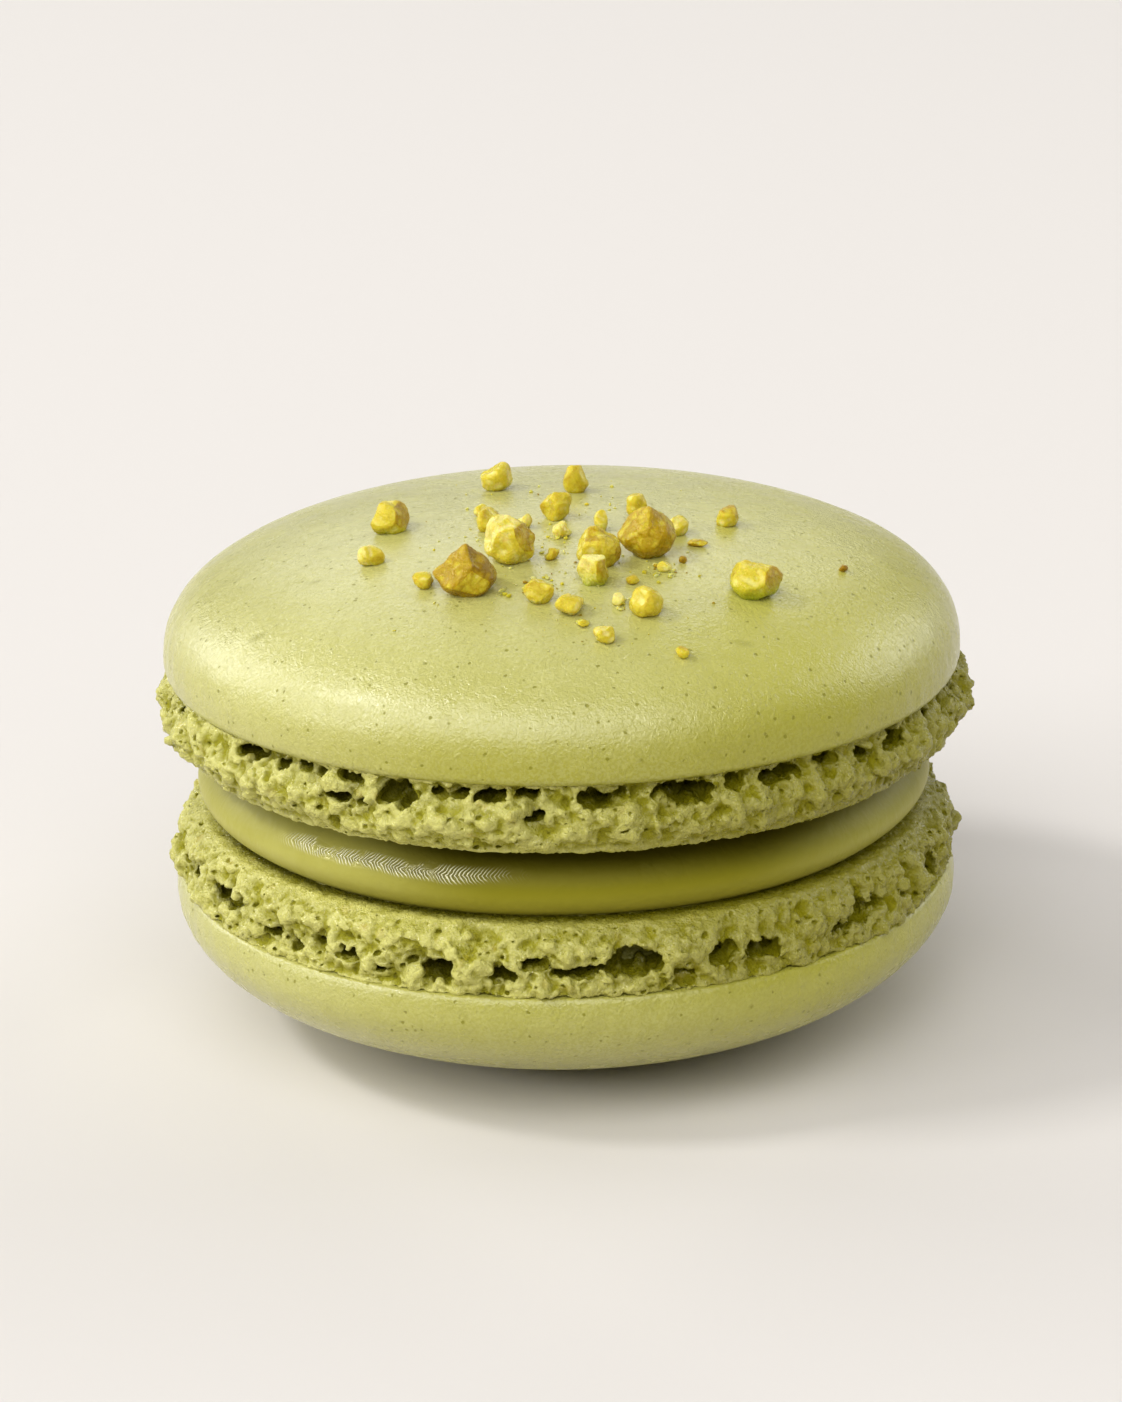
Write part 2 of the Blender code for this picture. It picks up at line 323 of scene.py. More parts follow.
def makeSpeckGroup():
    # Ground-nut specks: pinpricks, dots and a few longer smudges
    tree, given, result = newGroup("nutSpecks", {"Pricks": 0.8, "Dots": 0.9, "Smudges": 0.45}, ["Mask"])
    place = objectPlace(tree)
    noisy = put(tree, "ShaderNodeTexNoise", {"Vector": place, "Detail": 2.0,
                                             "Scale": 1.0 / (speckEdge["raggedSize"] * mm)})
    reach = (speckEdge["ragged"] * mm,) * 3
    drift = put(tree, "ShaderNodeVectorMath", {0: noisy.outputs["Color"], 1: reach}, operation="MULTIPLY")
    ragged = put(tree, "ShaderNodeVectorMath", {0: place, 1: drift.outputs[0]}, operation="ADD")
    kinds = [maths(tree, "MULTIPLY", spotsOf(tree, ragged.outputs[0], *look), given.outputs[name])
             for name, look in speckLook.items()]
    feed(tree, result, {"Mask": maths(tree, "MAXIMUM", *kinds)})
    return tree


def useGroup(tree, group, values=None):
    return put(tree, "ShaderNodeGroup", values, node_tree=group).outputs[0]


def newMaterial(name):
    material = bpy.data.materials.new(name)
    material.use_nodes = True
    tree = material.node_tree
    return material, tree, tree.nodes["Principled BSDF"]


def setBump(tree, surface, height, depth):
    bump = put(tree, "ShaderNodeBump", {"Height": height, "Distance": depth, "Strength": 1.0})
    feed(tree, surface, {"Normal": bump.outputs[0]})


grainGroup = makeGrainGroup()
speckGroup = makeSpeckGroup()
mottleGroup = makeMottleGroup()

skinLook = {
    "pale": (0.55, 0.53, 0.185), "deep": (0.455, 0.435, 0.118),
    "grain": 0.7, "grainSize": 0.16, "grainContrast": (0.35, 0.65),
    # Painted shade, darker to the right
    "rightShade": (0.48, 0.455, 0.045), "rightShadeAt": (0.0, 16.0), "rightShadeShare": 0.75,
    # Painted shade, darker towards the foot, most at the front and right, and less on the lower shell
    "edge": (0.31, 0.29, 0.012), "edgeReach": (5.0, 0.4), "edgeAt": (-18.0, -3.0),
    "edgeShare": (0.3, 0.88), "edgeGrain": 0.76, "edgeGloss": 0.45,
    "upperAt": (8.0, 16.0), "lowerShare": 0.7,
    "speck": (0.19, 0.18, 0.006), "speckShare": 0.92, "speckGloss": 0.12, "speckSunk": 0.2,
    "gloss": 0.85, "roughness": (0.17, 0.31), "sheenSize": 1.6, "sheenContrast": (0.3, 0.7),
    "powder": 0.03, "crust": 0.22, "crustRoughness": 0.28,
    "relief": 0.115, "reliefParts": {"Swell": 0.6, "Peel": 0.6, "Sand": 0.3},
}


def makeSkinMaterial():
    material, tree, surface = newMaterial("almondSkin")
    place = objectPlace(tree)
    side, _, level = put(tree, "ShaderNodeSeparateXYZ", {0: place}).outputs
    tone = useGroup(tree, mottleGroup)
    specks = useGroup(tree, speckGroup)
    grain = ranged(tree, noiseOf(tree, place, skinLook["grainSize"] * mm), *skinLook["grainContrast"])
    grainy = maths(tree, "MULTIPLY", grain, skinLook["grain"])
    # Painted shade: the colour darkens towards the right side
    rightShade = across(tree, side, skinLook["rightShadeAt"], 0.0, skinLook["rightShadeShare"])
    # Painted shade at the foot: strongest at the front and right, less on the lower shell, broken up by the
    # grain
    far, close = skinLook["edgeReach"]
    near = across(tree, level, (topShell["creaseAt"] + close, topShell["creaseAt"] + far), 1.0, 0.0)
    aside = across(tree, side, skinLook["edgeAt"], *skinLook["edgeShare"])
    upper = across(tree, level, skinLook["upperAt"], skinLook["lowerShare"], 1.0)
    edge = maths(tree, "MULTIPLY", near, aside, upper)
    edgeShade = maths(tree, "MULTIPLY", edge, ranged(tree, grain, 0.0, 1.0, skinLook["edgeGrain"], 1.0))
    shown = maths(tree, "MULTIPLY", specks, skinLook["speckShare"])
    colour = tinted(tree, skinLook, "deep", ("pale", tone), ("deep", grainy), ("rightShade", rightShade),
                    ("edge", edgeShade), ("speck", shown))
    sheen = noiseOf(tree, place, skinLook["sheenSize"] * mm)
    gloss = ranged(tree, edge, 0.0, 1.0, skinLook["gloss"], skinLook["edgeGloss"])
    gloss = maths(tree, "MULTIPLY", gloss, ranged(tree, specks, 0.0, 1.0, 1.0, skinLook["speckGloss"]))
    feed(tree, surface, {
        "Base Color": colour, "Specular IOR Level": gloss,
        "Roughness": ranged(tree, sheen, *skinLook["sheenContrast"], *skinLook["roughness"]),
        "Sheen Weight": skinLook["powder"], "Coat Weight": skinLook["crust"],
        "Coat Roughness": skinLook["crustRoughness"],
    })
    height = useGroup(tree, grainGroup, skinLook["reliefParts"])
    height = maths(tree, "SUBTRACT", height, maths(tree, "MULTIPLY", specks, skinLook["speckSunk"]))
    setBump(tree, surface, height, skinLook["relief"] * mm)
    return material


crumbLook = {
    # Painted shade: ridges darken to walls and to the deep parts by how far a point lies in a crevice or a
    # cave, in mm
    "ridge": (0.58, 0.55, 0.14), "wall": (0.31, 0.29, 0.020), "deep": (0.10, 0.09, 0.002),
    "wallAt": (-0.2, 0.1), "deepAt": (0.1, 0.34), "caveAt": (0.25, 1.1),
    "ochre": (0.40, 0.30, 0.018), "ochreSize": 1.1, "ochreFrom": (0.62, 0.78), "ochreShare": 0.6,
    "mottle": {"Broad": 0.3, "Close": 0.7}, "mottleShare": 0.3,
    # Painted shade, darker to the right
    "rightShade": (0.25, 0.225, 0.004), "rightShadeAt": (-10.0, 14.0), "rightShadeShare": 0.8,
    "gloss": (0.65, 0.08), "glossAt": (-0.1, 0.15),
    "roughness": (0.10, 0.4), "wetSize": 0.6, "wetContrast": (0.4, 0.6),
    "relief": 0.10, "reliefParts": {"Swell": 0.0, "Peel": 0.9, "Sand": 1.0},
}


def makeCrumbMaterial():
    material, tree, surface = newMaterial("footCrumb")
    hollow = put(tree, "ShaderNodeAttribute", attribute_name="hollow").outputs["Fac"]
    crevice = put(tree, "ShaderNodeAttribute", attribute_name="crevice").outputs["Fac"]
    tone = useGroup(tree, mottleGroup, crumbLook["mottle"])
    tone = maths(tree, "MULTIPLY", tone, crumbLook["mottleShare"])
    place = objectPlace(tree)
    burnt = ranged(tree, noiseOf(tree, place, crumbLook["ochreSize"] * mm), *crumbLook["ochreFrom"])
    burnt = maths(tree, "MULTIPLY", burnt, crumbLook["ochreShare"])
    side = put(tree, "ShaderNodeSeparateXYZ", {0: place}).outputs[0]
    # Painted shade: the colour darkens towards the right side
    rightShade = across(tree, side, crumbLook["rightShadeAt"], 0.0, crumbLook["rightShadeShare"])
    # Painted shade in crevices and caves: ridge colour to wall colour to deep colour
    colour = tinted(tree, crumbLook, "ridge", ("wall", ranged(tree, crevice, *crumbLook["wallAt"])),
                    ("deep", ranged(tree, hollow, *crumbLook["caveAt"])),
                    ("deep", ranged(tree, crevice, *crumbLook["deepAt"])),
                    ("ochre", burnt), ("wall", tone), ("rightShade", rightShade))
    wet = noiseOf(tree, place, crumbLook["wetSize"] * mm)
    feed(tree, surface, {
        "Base Color": colour,
        "Roughness": ranged(tree, wet, *crumbLook["wetContrast"], *crumbLook["roughness"]),
        "Specular IOR Level": ranged(tree, crevice, *crumbLook["glossAt"], *crumbLook["gloss"]),
    })
    height = useGroup(tree, grainGroup, crumbLook["reliefParts"])
    setBump(tree, surface, height, crumbLook["relief"] * mm)
    return material


# The two shells. Sizes in millimetres, heights above the table. Each cave that shows has its
# angle from the front, its height, and how wide and tall its mouth is.
topShell = {
    "capRadius": 22.0, "widestAt": 20.65, "rise": 7.45, "roundness": 2.35, "crown": 2.46,
    "creaseRadius": 21.6, "creaseAt": 20.15, "rimRadius": 21.05, "rimAt": 16.3,
    "bulge": 1.1, "skew": 0.85, "shoulder": 0.05, "plugRadius": 19.0, "innerRadius": 18.2,
    "caves": [
        (-49, 19.5, 2.4, 0.7), (-42, 19.4, 0.8, 0.5), (-38, 19.7, 0.9, 0.5), (-35, 19.6, 0.7, 0.5),
        (-30, 19.6, 1.4, 0.5), (-32, 18.6, 1.3, 0.6), (-28, 18.6, 0.7, 0.5), (-23, 19.3, 1.8, 1.1),
        (-17, 19.5, 0.7, 0.5), (-14, 19.5, 0.9, 0.6), (-10, 19.5, 1.7, 0.7), (-5, 19.6, 1.2, 0.6),
        (-4, 18.5, 1.2, 0.5), (4, 19.3, 1.7, 0.9), (7, 19.5, 0.7, 0.6), (13, 19.6, 1.3, 0.5),
        (17, 19.2, 2.3, 1.2), (23, 19.5, 0.9, 0.7), (30, 19.4, 2.4, 0.9), (38, 19.5, 1.4, 0.8),
        (45, 19.3, 1.5, 0.7), (52, 19.4, 2.0, 1.0), (62, 19.4, 1.6, 0.8),
    ],
    "seed": 11,
}
bottomShell = {
    "capRadius": 21.9, "widestAt": 7.35, "rise": -7.54, "roundness": 2.16, "crown": 1.92,
    "creaseRadius": 21.5, "creaseAt": 8.6, "rimRadius": 20.6, "rimAt": 12.1,
    "bulge": 0.95, "skew": 0.85, "shoulder": 0.4, "plugRadius": 19.0, "innerRadius": 18.2,
    "caves": [
        (-59, 10.2, 2.6, 0.9), (-46, 9.8, 1.1, 0.6), (-41, 9.6, 1.1, 0.7), (-37, 10.1, 0.8, 0.5),
        (-32, 9.9, 1.3, 0.8), (-27, 9.4, 0.8, 0.4), (-22, 10.1, 0.7, 0.5), (-18, 9.8, 1.8, 1.1),
        (-13, 11.4, 0.8, 0.6), (-9, 9.7, 1.5, 0.7), (-5, 10.4, 1.5, 0.5), (1, 9.9, 2.4, 0.6),
        (9, 10.2, 3.3, 1.3), (16, 9.4, 1.3, 0.5), (22, 10.2, 1.6, 1.2), (28, 10.0, 2.2, 1.0),
        (42, 9.8, 1.3, 0.8), (46, 10.1, 1.8, 0.9), (50, 10.2, 1.2, 0.7), (57, 10.1, 1.4, 0.7),
    ],
    "seed": 23,
}
capBuild = {
    "steps": 400, "rows": 48, "lipRows": 10, "wobble": 0.16, "wobbleSize": 13.0,
    "pucker": 0.05, "puckerSize": 0.8, "puckerHeight": 2.0, "puckerReach": 1.2,
}


def capProfile(shell):
    # From the pole over the dome, round the turned-under lip and back under as a hidden plug
    points = []
    for row in range(capBuild["rows"] + 1):
        turn = math.radians(90.0) * row / capBuild["rows"]
        out = shell["capRadius"] * math.sin(turn) ** (2.0 / shell["roundness"])
        up = shell["rise"] * math.cos(turn) ** (2.0 / shell["crown"])
        points.append((out, max(shell["widestAt"] + up, 0.0)))
    for row in range(1, capBuild["lipRows"] + 1):
        turn = math.radians(90.0) * row / capBuild["lipRows"]
        out = between(shell["capRadius"], shell["creaseRadius"], 1.0 - math.cos(turn))
        points.append((out, between(shell["widestAt"], shell["creaseAt"], math.sin(turn))))
    points.append((shell["plugRadius"], shell["creaseAt"]))
    points.append((shell["plugRadius"], shell["rimAt"]))
    points.append((0.0, shell["rimAt"]))
    return points


def wobbleAt(place):
    return capBuild["wobble"] * noise.noise(place / capBuild["wobbleSize"])


def makeCap(shell, name, node, material):
    bm = turned(capProfile(shell), capBuild["steps"])
    for vert in bm.verts:
        radius = radiusOf(vert.co)
        if radius < shell["plugRadius"]:
            continue
        offset = wobbleAt(vert.co)
        reach = capBuild["puckerReach"]
        nearLip = smooth((radius - shell["creaseRadius"] + reach) / reach)
        along = angleOf(vert.co) / 360.0 * math.tau * radius
        spot = Vector((along / capBuild["puckerSize"], vert.co.z / capBuild["puckerHeight"],
                       shell["seed"]))
        offset += capBuild["pucker"] * nearLip * noise.noise(spot)
        pushOut(vert, radius, offset)
    return finishPiece(meshOf(bm, name), name, material, node)


# The feet: a lumpy ring, set back and hollowed by steam caves, built up with small blobs
# of batter and pricked by burst bubbles
footBuild = {
    "steps": 560, "rows": 34,
    "lumpSize": 1.5, "lumpHeight": 0.42, "lumpReach": 0.75, "lumpSunk": 0.34,
    "ruffleWidth": 1.7, "ruffleHeight": 4.0, "ruffleDepth": 0.3,
    # Fins are shallow at the left and grow to the right of the front
    "finWidth": 0.7, "finHeight": 3.0, "finDepth": 0.62, "finLeast": 0.35, "finFrom": 15.0,
    "finOver": 40.0, "creaseCalm": 0.1, "rimCalm": 0.16, "coreMargin": 0.5,
    # The batter stands back round each cave
    "setBack": 0.5, "setBackReach": (1.5, 1.1), "setBackTo": 1.6, "ragged": 0.35, "raggedSize": 0.55,
    "dome": 0.2, "domeSize": 0.85, "coral": 0.1, "coralSize": 0.5, "crinkle": 0.05, "crinkleSize": 0.2,
    "grainDepth": 1.6, "grainAtRim": 0.35, "grainRimReach": 0.3, "depthFrom": 0.2,
    # Crevices are measured close and wide: weight, and rounds of smoothing
    "crevices": [(0.6, 6), (0.8, 40)],
    "voxel": 0.085, "triangles": 190000,
}
# Caves. The listed ones reach this many degrees to either side, and the rest are drawn.
caveBuild = {
    "reach": 68.0, "spacing": (1.4, 3.6), "width": (0.6, 2.6), "narrowing": (0.6, 1.0),
    "flatness": (0.35, 0.6), "scatter": 0.25, "step": 0.55, "spread": 0.85, "overlap": 0.13,
    "tall": (0.75, 1.3), "deep": (0.9, 1.4), "deepLeast": 0.6, "deepGrowth": 0.35, "sunk": 0.6,
    "proud": 0.2, "shift": 0.2, "tilt": 0.6, "lumps": 0.22, "voxel": 0.08, "sight": 9.0,
}
blobBuild = {
    "count": 5200, "radius": (0.1, 0.55), "least": 0.09, "skew": 2.6, "proud": 0.42,
    "proudSpread": (0.5, 1.3), "flat": (0.6, 1.0), "clear": 0.9, "inside": 0.8, "lumps": 0.15,
    # Where the batter has dried in upright folds
    "foldFrom": 22.0, "foldTo": 120.0, "foldProud": 0.7, "foldLargest": 0.3, "foldLean": 0.3,
    "foldShape": (0.55, 0.9, 1.5),
}
poreBuild = {
    "count": 900, "tries": 12, "radius": (0.06, 0.2), "skew": 2.2, "cell": 0.45, "apart": 1.4,
    "sunk": (-0.5, 0.2), "wide": (0.8, 1.5), "tall": (0.6, 1.0), "tilt": 0.5, "lumps": 0.2,
    "inwards": 0.3,
}


def footSurface(shell, share):
    straight = between(shell["creaseRadius"], shell["rimRadius"], share)
    swell = shell["bulge"] * math.sin(math.pi * share ** shell["skew"])
    fall = shell["shoulder"] * max(0.0, (share - 0.8) / 0.2) ** 2    # the last fifth falls off
    return straight + swell - fall, between(shell["creaseAt"], shell["rimAt"], share)


def shareAt(shell, level):
    # 0 at the crease under the cap, 1 at the rim
    return (level - shell["creaseAt"]) / (shell["rimAt"] - shell["creaseAt"])


def caveDistance(caves, angle, level, radius, across, along):
    # Below 1 inside a cave's mouth, widened by the two margins
    nearest = caveBuild["sight"]
    for centre, height, width, mouth in caves:
        turn = (angle - centre + 180.0) % 360.0 - 180.0
        if abs(turn) > caveBuild["sight"]:
            continue
        side = 2.0 * radius * math.radians(turn) / (width + across)
        rise = 2.0 * (level - height) / (mouth + along)
        nearest = min(nearest, math.sqrt(side * side + rise * rise))
    return nearest


def footRelief(shell, caves, place, share):
    nearest = noise.voronoi(place / footBuild["lumpSize"])[0][0]
    lump = footBuild["lumpHeight"] * (1.0 - (nearest / footBuild["lumpReach"]) ** 2)
    angle = angleOf(place)
    along = shell["capRadius"] * math.radians(angle)
    upright = Vector((along / footBuild["ruffleWidth"], place.z / footBuild["ruffleHeight"], 0.0))
    ruffle = footBuild["ruffleDepth"] * noise.noise(upright)
    narrow = Vector((along / footBuild["finWidth"], place.z / footBuild["finHeight"], 3.0))
    grown = smooth((angle - footBuild["finFrom"]) / footBuild["finOver"])
    fin = footBuild["finDepth"] * noise.noise(narrow) * between(footBuild["finLeast"], 1.0, grown)
    hold = smooth(share / footBuild["creaseCalm"]) * smooth((1.0 - share) / footBuild["rimCalm"])
    ragged = footBuild["ragged"] * noise.noise(place / footBuild["raggedSize"])
    gap = caveDistance(caves, angle, place.z, shell["capRadius"], *footBuild["setBackReach"])
    hollow = footBuild["setBack"] * smooth(footBuild["setBackTo"] - gap + ragged)
    hollow *= smooth(share / 0.05)    # but not at the crease itself
    return (lump + ruffle + fin - footBuild["lumpSunk"]) * hold - hollow


def caveList(shell, draw):
    # The caves that show from the front, then a seeded row round the back
    caves = list(shell["caves"])
    level = sum(cave[1] for cave in caves) / len(caves)
    perDegree = shell["capRadius"] * math.radians(1.0)
    angle = caveBuild["reach"]
    while angle < 360.0 - caveBuild["reach"]:
        width = draw.uniform(*caveBuild["width"]) * draw.uniform(*caveBuild["narrowing"])
        height = width * draw.uniform(*caveBuild["flatness"])
        up = level + draw.uniform(-caveBuild["scatter"], caveBuild["scatter"])
        caves.append((angle, up, width, height))
        angle += (draw.uniform(*caveBuild["spacing"]) + 0.5 * width) / perDegree
    return caves


def caveCutter(shell, caves, draw):
    # Each cave is a string of squashed lumpy balls that leads inwards
    places = []
    for angle, level, width, height in caves:
        count = 1 + round(width / caveBuild["step"])
        for index in range(count):
            shift = (index + 0.5) / count - 0.5
            turn = angle + math.degrees(shift * caveBuild["spread"] * width / shell["capRadius"])
            wide = 0.5 * width / count + caveBuild["overlap"] * width
            tall = 0.5 * height * draw.uniform(*caveBuild["tall"])
            deep = draw.uniform(*caveBuild["deep"])
            deep *= caveBuild["deepLeast"] + caveBuild["deepGrowth"] * width
            up = level + draw.uniform(-caveBuild["shift"], caveBuild["shift"]) * height
            out = shell["capRadius"] + caveBuild["proud"] - caveBuild["sunk"] * deep
            tilt = draw.uniform(-caveBuild["tilt"], caveBuild["tilt"])
            places.append(Matrix.Translation(around(turn, out, up)) @ turnedTo(turn, tilt)
                          @ Matrix.Diagonal((wide, deep, tall, 1.0)))
    bm = bmesh.new()
    addBalls(bm, places, 3, caveBuild["lumps"])
    return remeshed(meshOf(bm, "caves"), caveBuild["voxel"])


def blobPlaces(shell, caves, draw):
    # Mostly small blobs, smaller still towards the crease and the rim, and none over a cave
    places = []
    small, large = blobBuild["radius"]
    for _ in range(blobBuild["count"]):
        angle = draw.uniform(0.0, 360.0)
        share = draw.uniform(0.0, 1.0)
        size = between(small, large, draw.random() ** blobBuild["skew"])
        edge = min(0.3 + share / 0.2, 0.2 + (1.0 - share) / 0.35, 1.0)
        size = max(blobBuild["least"], size * edge)
        out, up = footSurface(shell, share)
        clear = blobBuild["clear"] * size
        if caveDistance(caves, angle, up, out, clear, clear) < 1.0:
            continue
        out += footRelief(shell, caves, around(angle, out, up), share)
        folded = blobBuild["foldFrom"] < angle < blobBuild["foldTo"]
        proud = blobBuild["proud"] * draw.uniform(*blobBuild["proudSpread"])
        if folded:
            proud *= blobBuild["foldProud"]
        out += size * (proud - 1.0)
        low = min(shell["creaseAt"], shell["rimAt"]) + blobBuild["inside"] * size
        high = max(shell["creaseAt"], shell["rimAt"]) - blobBuild["inside"] * size
        spot = around(angle, out, min(max(up, low), high))
        depth = size * draw.uniform(*blobBuild["flat"])
        height = size * draw.uniform(*blobBuild["flat"])
        shape = Matrix.Diagonal((size, depth, height, 1.0))
        lie = freeTurn(draw)
        if folded and size < blobBuild["foldLargest"] * (high - low):
            lie = turnedTo(angle, draw.gauss(0.0, blobBuild["foldLean"]))
            shape = Matrix.Diagonal((*(part * size for part in blobBuild["foldShape"]), 1.0))
        places.append(Matrix.Translation(spot) @ lie @ shape)
    return places


def poreCutter(mesh, shell, draw):
    # Burst bubbles at random places of the rough outside, none touching another
    small, large = poreBuild["radius"]
    taken = {}
    places = []
    low, high = sorted((shell["creaseAt"], shell["rimAt"]))
    count = len(mesh.vertices)
    tries = 0
    wanted = poreBuild["count"]
    while len(places) < wanted and tries < wanted * poreBuild["tries"]:
        tries += 1
        vertex = mesh.vertices[draw.randrange(count)]
        spot = vertex.co
        radius = radiusOf(spot)
        size = between(small, large, draw.random() ** poreBuild["skew"])
        if radius < shell["rimRadius"] - poreBuild["inwards"] or spot.z < low + size or spot.z > high - size:
            continue
        cell = tuple(int(value // poreBuild["cell"]) for value in spot)
        near = [taken.get((cell[0] + i, cell[1] + j, cell[2] + k), ()) for i in (-1, 0, 1)
                for j in (-1, 0, 1) for k in (-1, 0, 1)]
        apart = poreBuild["apart"]
        if any((spot - other).length < apart * (size + wide)
               for group in near for other, wide in group):
            continue
        centre = spot + vertex.normal * size * draw.uniform(*poreBuild["sunk"])
        taken.setdefault(cell, []).append((spot.copy(), size * apart))
        wide = size * draw.uniform(*poreBuild["wide"])
        tall = size * draw.uniform(*poreBuild["tall"])
        tilt = draw.uniform(-poreBuild["tilt"], poreBuild["tilt"])
        turn = Matrix.Rotation(math.atan2(spot.x, -spot.y), 4, "Z") @ Matrix.Rotation(tilt, 4, "Y")
        places.append(Matrix.Translation(centre) @ turn @ Matrix.Diagonal((wide, size, tall, 1.0)))
    bm = bmesh.new()
    addBalls(bm, places, 2, poreBuild["lumps"])
    return meshOf(bm, "pores")


def grainFoot(mesh, shell):
    # Coral-like ridges over the whole outside, with a finer crinkle on them
    inner = shell["rimRadius"] - footBuild["grainDepth"]
    spots = []
    for vertex in mesh.vertices:
        place = vertex.co.copy()
        if radiusOf(place) > inner:
            inwards = smooth((1.0 - shareAt(shell, place.z)) / footBuild["grainRimReach"])
            calm = between(footBuild["grainAtRim"], 1.0, inwards)
            ridge = 0.35 - 2.0 * abs(noise.noise(place / footBuild["coralSize"]))
            fine = 0.35 - 2.0 * abs(noise.noise(place / footBuild["crinkleSize"]))
            dome = 0.5 - 1.7 * noise.voronoi(place / footBuild["domeSize"])[0][0] ** 2
            push = footBuild["dome"] * calm * dome
            push += footBuild["coral"] * calm * ridge + footBuild["crinkle"] * fine
            place += vertex.normal * push
        spots.extend(place)
    mesh.vertices.foreach_set("co", spots)


def footDepth(mesh, shell):
    # How deep each point lies under the foot's general surface, for the painted shade in caves and set-back
    # places
    spots = coordinates(mesh)
    share = numpy.clip(shareAt(shell, spots[:, 2]), 0.0, 1.0)
    out = between(shell["creaseRadius"], shell["rimRadius"], share)
    out += shell["bulge"] * numpy.sin(math.pi * share ** shell["skew"])
    return numpy.maximum(0.0, out - footBuild["depthFrom"] - numpy.hypot(spots[:, 0], spots[:, 1]))


def makeFoot(shell, name, node, material):
    draw = random.Random(shell["seed"])
    caves = caveList(shell, draw)
    points = [footSurface(shell, row / footBuild["rows"]) for row in range(footBuild["rows"] + 1)]
    points += [(shell["innerRadius"], shell["rimAt"]), (shell["innerRadius"], shell["creaseAt"])]
    bm = turned(points, footBuild["steps"], closed=True)
    for vert in bm.verts:
        radius = radiusOf(vert.co)
        if radius > shell["innerRadius"] + footBuild["coreMargin"]:
            share = shareAt(shell, vert.co.z)
            pushOut(vert, radius, wobbleAt(vert.co) + footRelief(shell, caves, vert.co, share))
    mesh = cutBy(meshOf(bm, name), caveCutter(shell, caves, draw))
    bm = bmesh.new()
    bm.from_mesh(mesh)
    addBalls(bm, blobPlaces(shell, caves, draw), 2, blobBuild["lumps"])
    mesh = remeshed(meshOf(bm, name), footBuild["voxel"])
    print(name, "built up to", len(mesh.polygons), "faces")
    grainFoot(mesh, shell)
    mesh = cutBy(mesh, poreCutter(mesh, shell, draw))
    mesh = thinned(mesh, footBuild["triangles"])
    # Depth and crevice measures that carry the painted shade in the colour
    addMeasure(mesh, "hollow", footDepth(mesh, shell))
    addMeasure(mesh, "crevice", sum(weight * creviceDepth(mesh, rounds)
                                    for weight, rounds in footBuild["crevices"]))
    return finishPiece(mesh, name, material, node)


skinMaterial = makeSkinMaterial()
crumbMaterial = makeCrumbMaterial()
makeCap(topShell, "top_cap_skin", "top_shell", skinMaterial)
makeCap(bottomShell, "bottom_cap_skin", "bottom_shell", skinMaterial)
print("caps done")
makeFoot(topShell, "top_foot_crumb", "top_shell", crumbMaterial)
makeFoot(bottomShell, "bottom_foot_crumb", "bottom_shell", crumbMaterial)
print("feet done")


# The filling: a glossy band that bulges between the shells
filling = {
    "low": 11.95, "high": 16.45, "contact": 18.75, "bulge": 1.7, "slump": 1.35, "inner": 17.5,
    "wave": 0.12, "waveSize": 13.0, "steps": 640, "rows": 40,
}
ganacheLook = {
    "pale": (0.415, 0.39, 0.095), "deep": (0.375, 0.35, 0.07), "softSize": 0.6, "softDrift": 0.4,
    # Painted shade across the middle of the front, leaving the left end paler as painted light
    "middleShade": (0.235, 0.212, 0.012), "middleShadeFrom": (-14.0, -3.0), "middleShadeTo": (8.0, 17.0), "middleShadeLeast": 0.3,
    # Painted light: paler low down, as from light thrown up by the foot below
    "low": (0.38, 0.34, 0.045), "lowAt": (12.5, 13.9), "lowShare": 0.6,
    "shade": (0.05, 0.042, 0.0008), "shadeAt": (13.4, 15.6), "shadeAside": 0.32,
    "gloss": 0.16, "tint": (1.0, 0.9, 0.35), "roughness": (0.42, 0.2), "relief": 0.045,
    # The knife strokes: each wander has its size and its depth
    "ripple": 1.0, "rippleWidth": 0.21, "rippleRadius": 20.4, "rippleWander": (0.6, 0.4),
    "spine": 14.4, "spineWander": (3.0, 0.5), "strokeReach": (0.08, 0.5),
    "strokeFrom": -44.0, "strokeTo": -9.0, "patchSize": 1.2, "patchContrast": (0.35, 0.5),
    # Painted highlight: paler crests of the knife strokes along the streak of light
    "streakHighlight": (0.80, 0.77, 0.50), "streakHighlightAt": 0.6, "streakHighlightShare": 0.95, "strokeAt": 0.6,
    "strokeTint": (1.0, 0.97, 0.75), "strokeGloss": 1.0,
}


def wandering(tree, place, wander):
    # Noise with a size and a depth in millimetres
    size, depth = wander
    return maths(tree, "MULTIPLY", noiseOf(tree, place, size * mm), depth * mm)


